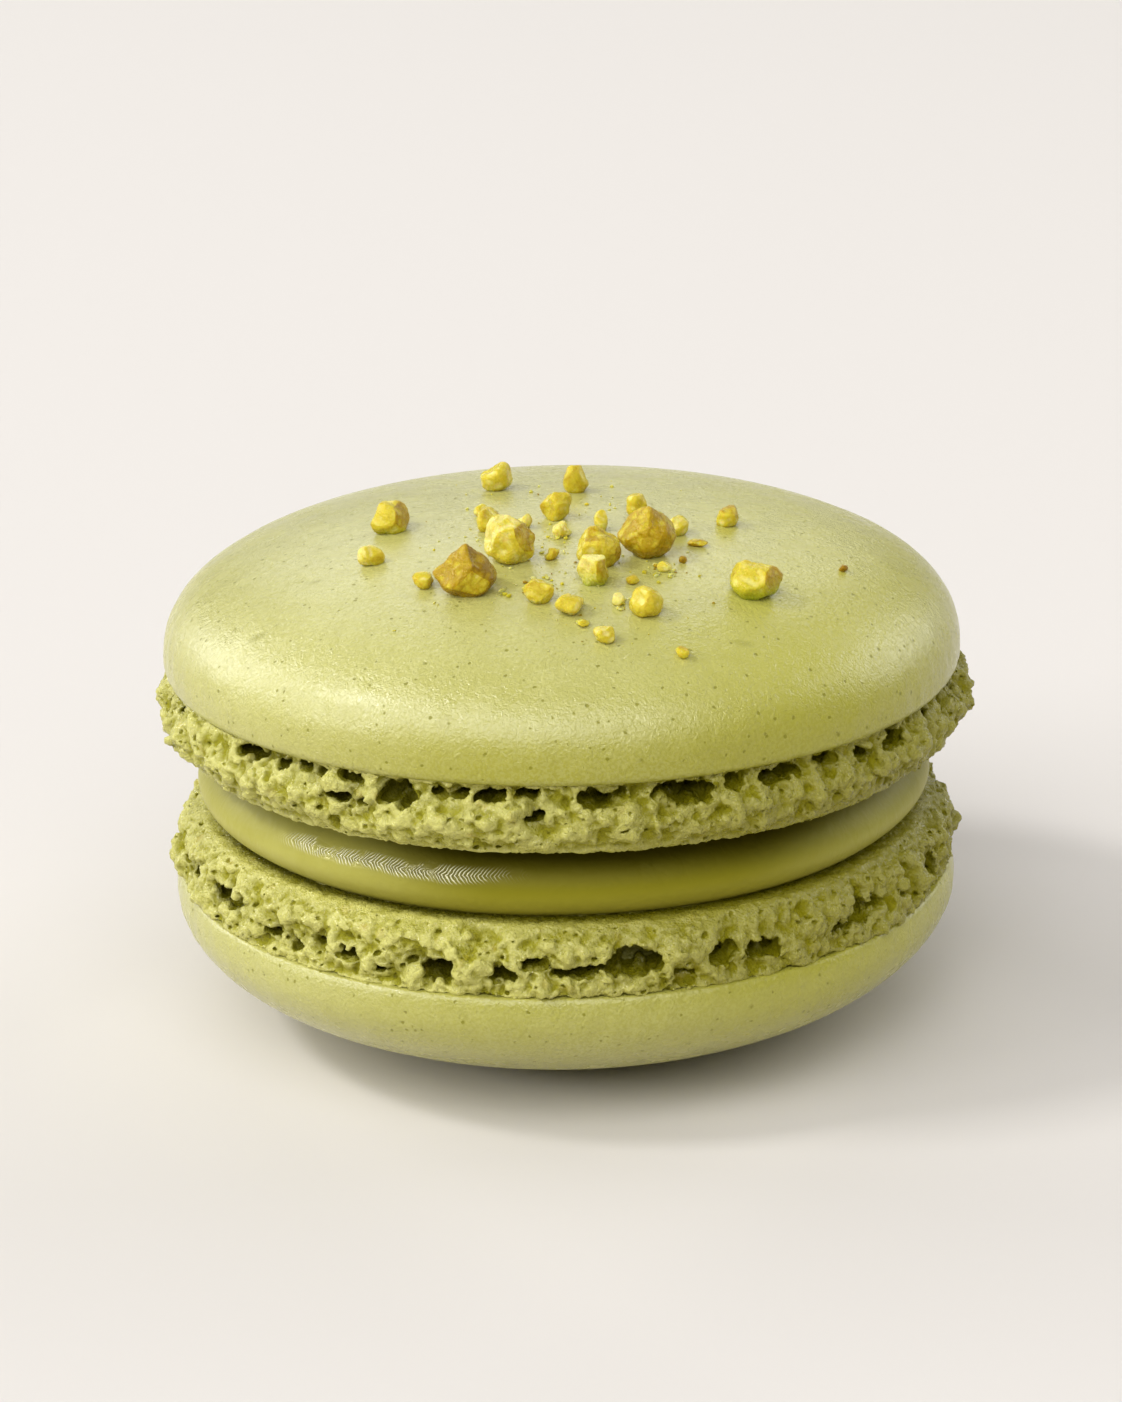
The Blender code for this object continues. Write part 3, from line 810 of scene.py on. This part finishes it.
def makeRippleGroup():
    # Feathered strokes of a palette knife round the band, slanting away from a spine
    tree, given, result = newGroup("knifeRipple", {"Strength": 0.35}, ["Height", "Share"])
    place = objectPlace(tree)
    side, back, level = put(tree, "ShaderNodeSeparateXYZ", {0: place}).outputs
    front = maths(tree, "ARCTAN2", side, maths(tree, "MULTIPLY", back, -1.0))
    along = maths(tree, "MULTIPLY", front, ganacheLook["rippleRadius"] * mm)
    spine = wandering(tree, place, ganacheLook["spineWander"])
    spine = maths(tree, "ADD", spine, ganacheLook["spine"] * mm)
    aside = maths(tree, "ABSOLUTE", maths(tree, "SUBTRACT", level, spine), 0.0)
    slant = maths(tree, "ADD", maths(tree, "SUBTRACT", along, aside),
                  wandering(tree, place, ganacheLook["rippleWander"]))
    turns = maths(tree, "MULTIPLY", slant, math.tau / (ganacheLook["rippleWidth"] * mm))
    wave = maths(tree, "SINE", turns, 0.0)
    near = across(tree, aside, ganacheLook["strokeReach"], 1.0, 0.0)
    patchy = noiseOf(tree, place, ganacheLook["patchSize"] * mm)
    patchy = ranged(tree, patchy, *ganacheLook["patchContrast"])
    start = math.radians(ganacheLook["strokeFrom"])
    end = math.radians(ganacheLook["strokeTo"])
    stretch = maths(tree, "MULTIPLY", ranged(tree, front, start - 0.1, start + 0.1),
                    ranged(tree, front, end - 0.25, end + 0.1, 1.0, 0.0))    # the ends fade out
    share = maths(tree, "MULTIPLY", near, patchy, stretch, given.outputs["Strength"])
    feed(tree, result, {"Height": maths(tree, "MULTIPLY", wave, share),
                        "Share": maths(tree, "MULTIPLY", near, stretch)})
    return tree


def makeGanacheMaterial():
    material, tree, surface = newMaterial("ganache")
    place = objectPlace(tree)
    side, _, level = put(tree, "ShaderNodeSeparateXYZ", {0: place}).outputs
    # Painted shade in the middle of the front; the left end stays paler as painted light
    middleShade = maths(tree, "MULTIPLY", across(tree, side, ganacheLook["middleShadeFrom"]),
                 across(tree, side, ganacheLook["middleShadeTo"], 1.0, ganacheLook["middleShadeLeast"]))
    # Painted light: paler low on the band, as from light thrown up off the foot
    low = across(tree, level, ganacheLook["lowAt"], ganacheLook["lowShare"], 0.0)
    under = across(tree, level, ganacheLook["shadeAt"])
    aside = ranged(tree, middleShade, 0.0, 1.0, ganacheLook["shadeAside"], 1.0)
    ripple = put(tree, "ShaderNodeGroup", {"Strength": ganacheLook["ripple"]}, node_tree=makeRippleGroup())
    height, share = ripple.outputs
    # Painted highlight: the crests of the strokes are paler where the streak of light falls
    streakHighlight = ranged(tree, height, 0.0, ganacheLook["streakHighlightAt"], 0.0, ganacheLook["streakHighlightShare"])
    feed(tree, surface, {
        "Base Color": tinted(tree, ganacheLook, "deep", ("pale", useGroup(tree, mottleGroup)),
                             ("middleShade", middleShade), ("low", maths(tree, "MULTIPLY", low, middleShade)),
                             ("shade", maths(tree, "MULTIPLY", under, aside)), ("streakHighlight", streakHighlight)),
        "Roughness": ranged(tree, share, 0.0, ganacheLook["strokeAt"], *ganacheLook["roughness"]),
        "Specular Tint": tinted(tree, ganacheLook, "tint", ("strokeTint", share)),
        "Specular IOR Level": ranged(tree, share, 0.0, 1.0, ganacheLook["gloss"],
                                     ganacheLook["strokeGloss"]),
    })
    soft = noiseOf(tree, place, ganacheLook["softSize"] * mm, 2.0, 0.5, ganacheLook["softDrift"])
    setBump(tree, surface, maths(tree, "ADD", soft, height), ganacheLook["relief"] * mm)
    return material


def makeFilling(name, material):
    points = [(filling["inner"], filling["high"])]
    for row in range(filling["rows"] + 1):
        share = row / filling["rows"]
        out = filling["contact"] + filling["bulge"] * math.sin(math.pi * share ** filling["slump"])
        points.append((out, between(filling["high"], filling["low"], share)))
    points.append((filling["inner"], filling["low"]))
    bm = turned(points, filling["steps"], closed=True)
    for vert in bm.verts:
        radius = radiusOf(vert.co)
        flat = Vector((vert.co.x, vert.co.y, 0.0))
        pushOut(vert, radius, filling["wave"] * noise.noise(flat / filling["waveSize"]))
    return finishPiece(meshOf(bm, name), name, material, "filling")


makeFilling("ganache_band", makeGanacheMaterial())
print("filling done")


# Chopped nuts. Each has its place right and back of the middle, its width, its height above
# the skin, its turn, its tone (0 pale cream, 1 toasted brown), how green it is, and its
# knife cuts: the side each faces, how steeply up, how far out, and the tone it shows
nibList = [
    (-4.95, -11.7, 3.3, 2.6, 0, 0.95, 0.0, [
        (-38, 30, 0.25, 0.8), (58, 36, 0.28, 0.98), (-115, 44, 0.3, 0.9), (150, 42, 0.3, 0.8),
        (95, 25, 0.36, 0.9), (10, -5, 0.36, 0.55), (-20, 82, 0.4, 1.0)]),
    (4.55, -7.4, 3.1, 2.6, 0, 0.72, 0.0, [
        (-65, 42, 0.28, 0.6), (35, 48, 0.33, 0.8), (85, 38, 0.31, 0.6), (-10, 12, 0.38, 0.65),
        (175, 40, 0.3, 0.7), (-30, 60, 0.36, 0.8)]),
    (-2.65, -8.1, 2.7, 2.35, 0, 0.35, 0.0, [
        (-70, 15, 0.4, 0.12), (0, 80, 0.38, 0.15), (-15, 5, 0.42, 0.35), (60, 20, 0.37, 0.7),
        (110, 45, 0.38, 0.6), (-60, 50, 0.4, 0.05)]),
    (2.0, -8.9, 2.35, 2.0, 0, 0.5, 0.0, [
        (65, 55, 0.33, 0.5), (-15, 5, 0.4, 0.4), (75, 5, 0.42, 0.8), (-80, 15, 0.42, 0.3),
        (-30, 60, 0.38, 0.65), (180, 20, 0.36, 0.6)]),
    (10.1, -11.25, 2.75, 1.75, -8, 0.42, 0.55, [
        (-20, 35, 0.33, 0.3), (70, 15, 0.36, 0.68), (30, 70, 0.33, 0.4), (-80, 20, 0.42, 0.4),
        (170, 30, 0.3, 0.5)]),
    (-9.2, -1.85, 2.1, 1.65, 5, 0.45, 0.4, [
        (-30, 35, 0.33, 0.35), (65, 20, 0.3, 0.7), (0, 75, 0.36, 0.3), (-100, 20, 0.36, 0.4)]),
    (1.65, -11.3, 1.65, 1.5, 0, 0.2, 0.5, [
        (0, 85, 0.34, 0.0), (-40, 0, 0.34, 0.15), (48, 0, 0.36, 0.55), (140, 10, 0.36, 0.4)]),
    (-3.5, 5.3, 1.8, 1.6, 30, 0.25, 0.3, 4), (-0.2, -1.4, 1.75, 1.6, 80, 0.4, 0.0, 6),
    (4.3, -14.4, 1.75, 1.5, 15, 0.45, 0.0, 6), (-1.15, -13.3, 1.6, 1.2, 5, 0.3, 0.0, 6),
    (0.95, 4.2, 1.45, 1.6, 35, 0.45, 0.2, 5), (0.4, -14.35, 1.5, 1.0, 65, 0.25, 0.0, 5),
    (-10.0, -6.75, 1.45, 1.0, 25, 0.22, 0.0, 5), (-3.8, -3.0, 1.35, 1.15, 45, 0.4, 0.1, 5),
    (6.2, -3.95, 1.4, 0.95, 55, 0.4, 0.0, 5), (4.2, -0.9, 1.15, 1.2, 75, 0.4, 0.0, 4),
    (9.1, -1.8, 1.25, 1.05, 85, 0.4, 0.1, 5), (2.1, -16.9, 1.1, 0.8, 12, 0.35, 0.3, 5),
    (-7.15, -10.6, 1.1, 0.8, 33, 0.45, 0.0, 5), (0.1, -4.65, 1.05, 0.8, 47, 0.15, 0.0, 4),
    (-1.9, -3.1, 0.85, 0.8, 66, 0.15, 0.0, 4), (-0.45, -8.0, 0.8, 0.6, 71, 0.55, 0.0, 4),
    (-4.3, -0.3, 0.8, 0.65, 9, 0.3, 0.0, 4), (2.2, -3.7, 0.75, 1.1, 81, 0.2, 0.3, 3),
    (5.4, -9.6, 0.8, 0.55, 28, 0.1, 0.0, 4), (3.7, -11.2, 0.7, 0.45, 38, 0.45, 0.0, 3),
    (2.9, -13.5, 0.65, 0.55, 58, 0.2, 0.0, 3), (6.0, -17.6, 0.7, 0.55, 78, 0.4, 0.0, 3),
    (1.05, -15.55, 0.7, 0.3, 88, 0.3, 0.0, 3), (7.3, -5.85, 1.1, 0.35, 5, 0.6, 0.0, 3),
    (6.4, -8.4, 0.45, 0.4, 18, 0.9, 0.0, 2), (15.0, -6.4, 0.5, 0.35, 30, 1.1, 0.0, 2),
]
nibBuild = {
    "sunk": 0.1, "largest": 2.0, "large": 1.6, "middle": 1.0, "depth": 0.9, "seed": 5,
    "facetAt": (0.28, 0.42), "facetLift": (-15, 75), "facetTone": 0.25, "round": 0.03, "swell": 1.2,
    "knob": 0.26, "knobSize": 1.0, "chip": 0.05, "chipSize": 0.5, "chipTone": 0.3,
    "grain": 0.025, "grainSize": 0.12,
}
# Where the dust lies: right, back, spread, number, and how small and large it is
dustPatches = [
    (0.0, -8.0, 7.0, 170, 0.05, 0.2), (-1.1, -11.6, 0.9, 40, 0.07, 0.42),
    (-3.0, -12.3, 0.4, 12, 0.08, 0.34), (3.2, -13.5, 0.8, 20, 0.06, 0.3),
    (5.6, -9.8, 1.0, 22, 0.06, 0.36), (-0.5, -5.6, 1.7, 26, 0.07, 0.34),
    (-4.0, -6.0, 2.2, 20, 0.05, 0.24), (0.5, 2.0, 5.5, 34, 0.06, 0.24),
    (3.0, -16.0, 3.4, 26, 0.05, 0.16),
]
dustBuild = {
    "spread": 0.6, "edge": 19.0, "skew": 2.0, "flat": (0.5, 0.9), "thin": (0.25, 0.8), "tilt": 0.5,
    "tones": (0.0, 0.0, 0.1, 0.2, 0.3, 0.4, 0.9), "toneSpread": (-0.05, 0.1), "lumps": 0.8,
    "lumpSize": 0.4, "lift": 0.2,
}
nutLook = {
    # Tones from pale to toasted, and where along the tone each sets in
    "cream": (0.75, 0.675, 0.20), "yellow": (0.595, 0.49, 0.03), "yellowAt": (0.0, 0.32),
    "ochre": (0.41, 0.27, 0.004), "ochreAt": (0.35, 0.72), "brown": (0.24, 0.135, 0.002),
    "brownAt": (0.72, 1.1), "green": (0.30, 0.38, 0.010), "greenAt": (0.3, 0.8), "greenShare": 0.85,
    "patchy": 0.6, "patchSize": 0.9, "relief": 0.07, "reliefSize": 0.14,
    "roughness": (0.12, 0.4), "shineSize": 0.3, "shineAt": (0.35, 0.6), "tint": (1.0, 0.85, 0.4, 1.0),
    "glow": 0.55, "glowDepth": 0.8, "glowReach": (1.0, 0.7, 0.12),
}


def makeNutGroup():
    # Oily chopped-nut surface: its fine relief and the patches where oil darkens it
    tree, given, result = newGroup("nutFlesh", {"Grain": 1.0}, ["Height", "Patch", "Shine"])
    place = objectPlace(tree)
    grain = noiseOf(tree, place, nutLook["reliefSize"] * mm, 3.0, 0.6)
    feed(tree, result, {
        "Height": maths(tree, "MULTIPLY", grain, given.outputs["Grain"]),
        "Patch": noiseOf(tree, place, nutLook["patchSize"] * mm, 3.0, 0.55, 0.4),
        "Shine": noiseOf(tree, place, nutLook["shineSize"] * mm),
    })
    return tree


def makeNutMaterial():
    material, tree, surface = newMaterial("choppedNut")
    tone = put(tree, "ShaderNodeAttribute", attribute_name="tone").outputs["Fac"]
    green = put(tree, "ShaderNodeAttribute", attribute_name="green").outputs["Fac"]
    height, patch, shine = put(tree, "ShaderNodeGroup", node_tree=makeNutGroup()).outputs
    patch = maths(tree, "MULTIPLY", maths(tree, "SUBTRACT", patch, 0.5), nutLook["patchy"])
    tone = maths(tree, "ADD", tone, patch)
    coats = [(name, ranged(tree, tone, *nutLook[name + "At"])) for name in ("yellow", "ochre", "brown")]
    coats.append(("green", ranged(tree, green, *nutLook["greenAt"], 0.0, nutLook["greenShare"])))
    feed(tree, surface, {
        "Base Color": tinted(tree, nutLook, "cream", *coats),
        "Roughness": ranged(tree, shine, *nutLook["shineAt"], *nutLook["roughness"]),
        "Specular Tint": nutLook["tint"], "Subsurface Weight": nutLook["glow"],
        "Subsurface Radius": nutLook["glowReach"], "Subsurface Scale": nutLook["glowDepth"] * mm,
    })
    setBump(tree, surface, height, nutLook["relief"] * mm)
    return material


def capLevel(radius):
    share = 1.0 - (radius / topShell["capRadius"]) ** topShell["roundness"]
    return topShell["widestAt"] + topShell["rise"] * share ** (1.0 / topShell["crown"])


def nibCuts(cuts, tone, draw):
    # A count stands for that many cuts to random sides
    if isinstance(cuts, int):
        low, high = nibBuild["facetAt"]
        spread = nibBuild["facetTone"]
        cuts = [(draw.uniform(-180, 180), draw.uniform(*nibBuild["facetLift"]), draw.uniform(low, high),
                 tone + draw.uniform(-spread, spread)) for _ in range(cuts)]
    planes = []
    for side, lift, reach, shown in cuts:
        flat = around(side, math.cos(math.radians(lift)), 0.0)
        planes.append((Vector((flat.x, flat.y, math.sin(math.radians(lift)))), reach, shown))
    return planes


def rounded(over):
    # A cut leaves a softly rounded edge
    share = over / nibBuild["round"]
    return over if share > 20.0 else nibBuild["round"] * math.log1p(math.exp(share))


def spanOf(values):
    values = list(values)
    return min(values), max(values)


def anywhere(draw):
    # A shift that gives each bit its own part of the noise
    return Vector((draw.uniform(0, 90), draw.uniform(0, 90), draw.uniform(0, 90)))


def addNib(bm, nib, draw, tones, greens):
    right, back, width, height, turn, tone, green, cuts = nib
    planes = nibCuts(cuts, tone, draw)
    detail = 3 + sum(width >= nibBuild[size] for size in ("middle", "large", "largest"))
    made = bmesh.ops.create_icosphere(bm, subdivisions=detail, radius=0.5)
    shift = anywhere(draw)
    full = height / (1.0 - nibBuild["sunk"])
    spin = Matrix.Rotation(math.radians(turn), 3, "Z")
    fine = min(1.0, 0.35 + 0.4 * width)    # small bits have finer and lower relief
    for vert in made["verts"]:
        spot = vert.co.copy()
        shown, most = tone, 0.0
        for way, reach, facet in planes:
            over = spot @ way - reach
            if over > most:
                shown, most = facet, over
            spot -= way * rounded(over)
        spot = Vector((spot.x * width, spot.y * width * nibBuild["depth"], spot.z * full))
        spot = spin @ spot * nibBuild["swell"]
        outward = spot.normalized()
        knob = noise.noise(spot / (nibBuild["knobSize"] * fine) + shift)
        chip = 0.3 - 2.0 * abs(noise.noise(spot / (nibBuild["chipSize"] * fine) + shift))
        grain = noise.noise(spot / nibBuild["grainSize"] + shift)
        spot += outward * fine * (nibBuild["knob"] * knob + nibBuild["chip"] * chip
                                  + nibBuild["grain"] * grain)
        vert.co = spot
        tones.append(shown + nibBuild["chipTone"] * chip)
        greens.append(green * (0.75 - 1.1 * spot.z / full) if green else 0.0)
    # Fitted to its listed width and height, in its place on the skin
    low, high = spanOf(vert.co.z for vert in made["verts"])
    left, most = spanOf(vert.co.x for vert in made["verts"])
    level = capLevel(math.hypot(right, back)) + height - full
    for vert in made["verts"]:
        vert.co.x = right + ((vert.co.x - left) / (most - left) - 0.5) * width
        vert.co.y = back + vert.co.y * width / (most - left)
        vert.co.z = level + (vert.co.z - low) / (high - low) * full


def finishNuts(bm, name, tones, greens, material):
    mesh = meshOf(bm, name)
    addMeasure(mesh, "tone", tones)
    addMeasure(mesh, "green", greens)
    return finishPiece(mesh, name, material, "top_shell")


def makeNibs(material):
    draw = random.Random(nibBuild["seed"])
    for name, wanted in (("nut_nibs_large", True), ("nut_nibs_small", False)):
        bm = bmesh.new()
        tones, greens = [], []
        for nib in nibList:
            if (nib[2] >= nibBuild["large"]) == wanted:
                addNib(bm, nib, draw, tones, greens)
        finishNuts(bm, name, tones, greens, material)


def makeDust(material):
    # Crumbs and flakes that fell off the nuts, lying on the skin
    draw = random.Random(nibBuild["seed"] + 1)
    bm = bmesh.new()
    tones, greens = [], []
    for right, back, spread, count, small, large in dustPatches:
        for _ in range(count):
            x = draw.gauss(right, spread * dustBuild["spread"])
            y = draw.gauss(back, spread * dustBuild["spread"])
            if math.hypot(x, y) > dustBuild["edge"]:
                continue
            size = between(small, large, draw.random() ** dustBuild["skew"])
            made = bmesh.ops.create_icosphere(bm, subdivisions=2, radius=0.5 * size)
            shift = anywhere(draw)
            wide = draw.uniform(*dustBuild["flat"])
            flat = Matrix.Diagonal((1.0, wide, draw.uniform(*dustBuild["thin"]), 1.0))
            tilt = draw.uniform(-dustBuild["tilt"], dustBuild["tilt"])
            turn = draw.uniform(0.0, math.tau)
            lie = Matrix.Rotation(tilt, 4, "X") @ Matrix.Rotation(turn, 4, "Z")
            tone = draw.choice(dustBuild["tones"]) + draw.uniform(*dustBuild["toneSpread"])
            spot = Vector((x, y, capLevel(math.hypot(x, y)) + dustBuild["lift"] * size))
            for vert in made["verts"]:
                lump = noise.noise(vert.co / (dustBuild["lumpSize"] * size) + shift)
                vert.co *= 1.0 + dustBuild["lumps"] * lump
                vert.co = lie @ flat @ vert.co + spot
                tones.append(tone)
                greens.append(0.0)
    finishNuts(bm, "nut_dust", tones, greens, material)


nutMaterial = makeNutMaterial()
makeNibs(nutMaterial)
makeDust(nutMaterial)
print("nuts done")


# A pale floor, soft studio light and the camera
stage = {"floor": 8.0, "colour": (0.70, 0.665, 0.628), "roughness": 0.9, "shine": 0.1,
         "glow": 0.12, "distance": 3.0}
# Each lamp: which way from the front, how high, width, height and power
lamps = {
    "key": (-81.0, 48.0, 0.6, 0.4, 30.5), "side": (-68.0, 20.0, 1.3, 0.4, 22.0),
    "window": (-34.0, 42.0, 2.6, 1.5, 31.0), "front": (4.0, 46.0, 2.8, 2.2, 49.0),
    "backLeft": (-122.0, 22.0, 1.7, 1.4, 32.0), "backRight": (120.0, 24.0, 2.2, 1.6, 29.0),
    "back": (180.0, 30.0, 2.2, 1.6, 18.0),
}
view = {
    "x": -0.12, "y": -174.1, "z": 77.45, "pitch": 19.12, "roll": 1.093, "focal": 3300.0,
    "imageTall": 1402.0, "sensor": 36.0, "clip": (0.005, 20.0),
}


def makeFloor():
    bm = bmesh.new()
    bmesh.ops.create_grid(bm, x_segments=2, y_segments=2, size=0.5 * stage["floor"])
    floor = placed("floor", meshOf(bm, "floor"))
    material, tree, surface = newMaterial("paleFloor")
    feed(tree, surface, {"Base Color": (*stage["colour"], 1.0), "Roughness": stage["roughness"],
                         "Specular IOR Level": stage["shine"]})
    floor.data.materials.append(material)


def makeLights():
    world = bpy.data.worlds.new("studio")
    world.use_nodes = True
    feed(world.node_tree, world.node_tree.nodes["Background"],
         {"Color": (1.0, 1.0, 1.0, 1.0), "Strength": stage["glow"]})
    bpy.context.scene.world = world
    bpy.context.scene.view_settings.view_transform = "Standard"
    for name, (towards, height, width, tall, power) in lamps.items():
        light = bpy.data.lights.new(name, "AREA")
        light.shape = "RECTANGLE"
        light.size = width
        light.size_y = tall
        light.energy = power
        light.color = (1.0, 1.0, 1.0)
        level = math.radians(height)
        way = around(towards, math.cos(level), math.sin(level))
        holder = placed(name, light)
        holder.location = way * stage["distance"]
        holder.rotation_euler = way.to_track_quat("Z", "Y").to_euler()


def makeCamera():
    lens = bpy.data.cameras.new("camera")
    lens.sensor_width = view["sensor"]
    lens.lens = view["focal"] / view["imageTall"] * view["sensor"]
    lens.clip_start, lens.clip_end = view["clip"]
    camera = placed("camera", lens)
    pitch = math.radians(view["pitch"])
    roll = math.radians(view["roll"])
    right = Vector((1.0, 0.0, 0.0))
    up = Vector((0.0, math.sin(pitch), math.cos(pitch)))
    back = Vector((0.0, -math.cos(pitch), math.sin(pitch)))
    rolledRight = right * math.cos(roll) - up * math.sin(roll)
    rolledUp = right * math.sin(roll) + up * math.cos(roll)
    turn = Matrix((rolledRight, rolledUp, back)).transposed().to_4x4()
    camera.matrix_world = Matrix.Translation(Vector((view["x"], view["y"], view["z"])) * mm) @ turn
    bpy.context.scene.camera = camera


makeFloor()
makeLights()
makeCamera()
print("stage done")
